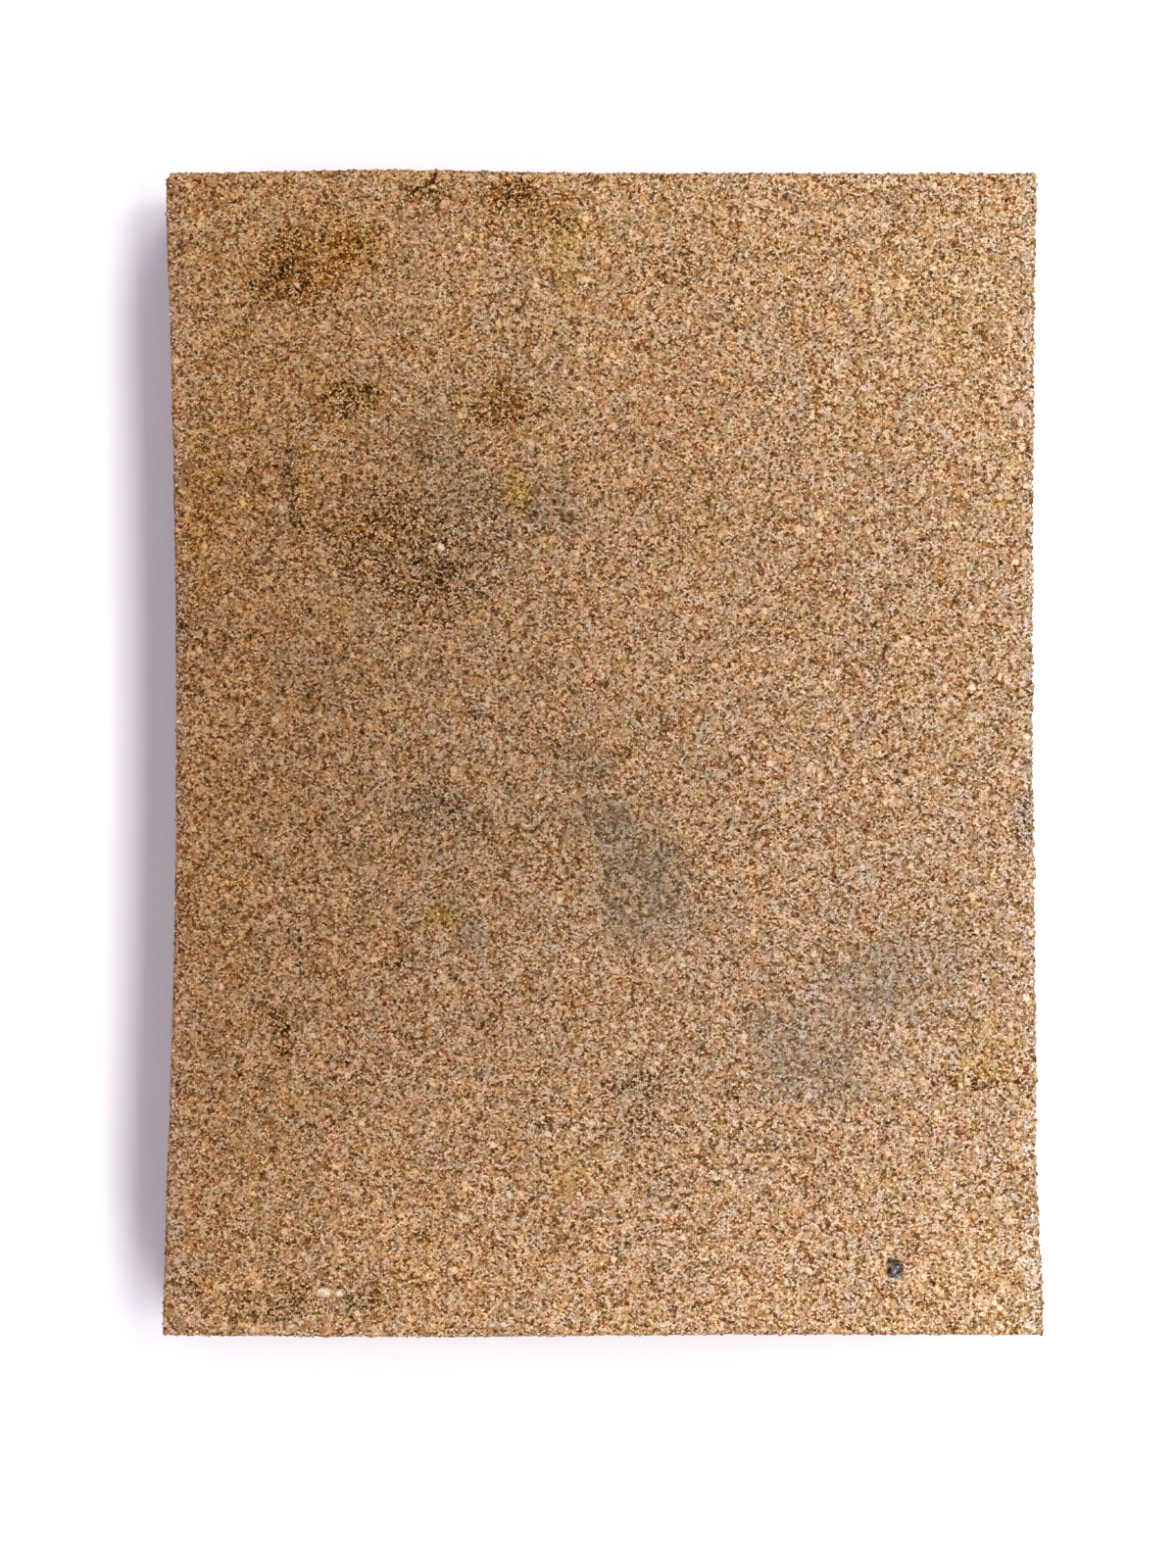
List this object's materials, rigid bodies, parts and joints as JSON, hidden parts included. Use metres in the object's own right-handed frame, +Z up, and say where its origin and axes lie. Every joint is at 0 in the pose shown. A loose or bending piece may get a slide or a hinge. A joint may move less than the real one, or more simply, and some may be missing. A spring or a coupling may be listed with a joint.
{
  "type": "sanding block",
  "caption": "Plain rectangular hand sanding block of fine agglomerated cork, slightly waisted by wear, with a flat sole and soft arrises.",
  "frame": {"origin": "centre of the sole, the broad face the block rests on", "axes": "+Y along the length towards the head end, +X across the width to the right side, +Z up through the thickness to the upper face"},
  "size_m": [0.0904, 0.12, 0.0302],
  "materials": {
    "cork": "dry open granular cork, stained by use",
    "cork_granule": "dry matt cork grain",
    "pale_cork": "dry matt pale cork",
    "dark_grit": "rough broken crumb"
  },
  "bodies": {
    "root": {"cork_block": "cork", "lodged_grit": "dark_grit", "pale_chip_large": "pale_cork", "pale_chip_small": "pale_cork", "pale_chip_upper": "pale_cork", "edge_granules": "cork_granule", "edge_fibre": "cork_granule"}
  },
  "joints": []
}
